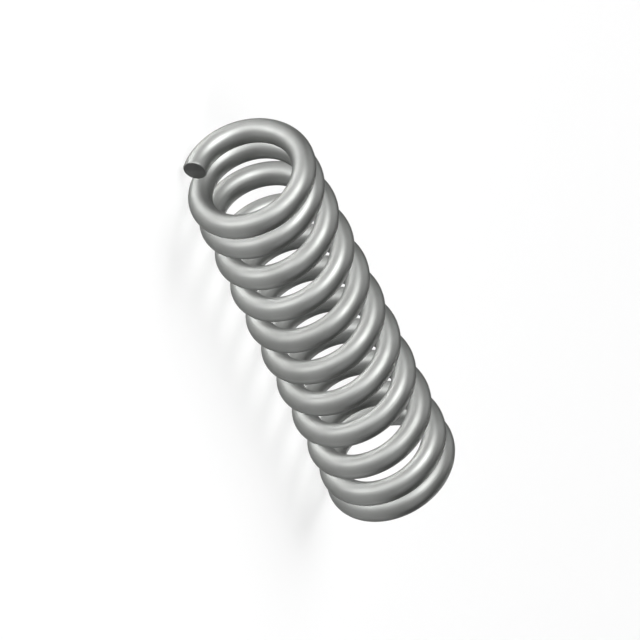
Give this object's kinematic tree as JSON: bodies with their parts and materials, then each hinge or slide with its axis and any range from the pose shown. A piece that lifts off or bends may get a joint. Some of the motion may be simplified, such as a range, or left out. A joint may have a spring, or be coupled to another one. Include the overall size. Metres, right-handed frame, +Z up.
{
  "type": "compression spring",
  "caption": "Small helical compression spring in round steel wire, with a closed, unground turn at each end, lying on its side.",
  "frame": {"origin": "on the surface that the spring lies on, below the middle of the coil", "axes": "+X along the coil's axis, from the end where the winding starts to the other; +Z up; both wire tips are underneath, on the -Z side"},
  "size_m": [0.035, 0.0094, 0.0095],
  "materials": {
    "spring_wire": "plain drawn spring steel, satin grey"
  },
  "bodies": {
    "root": {"spring_coil": "spring_wire"}
  },
  "joints": []
}
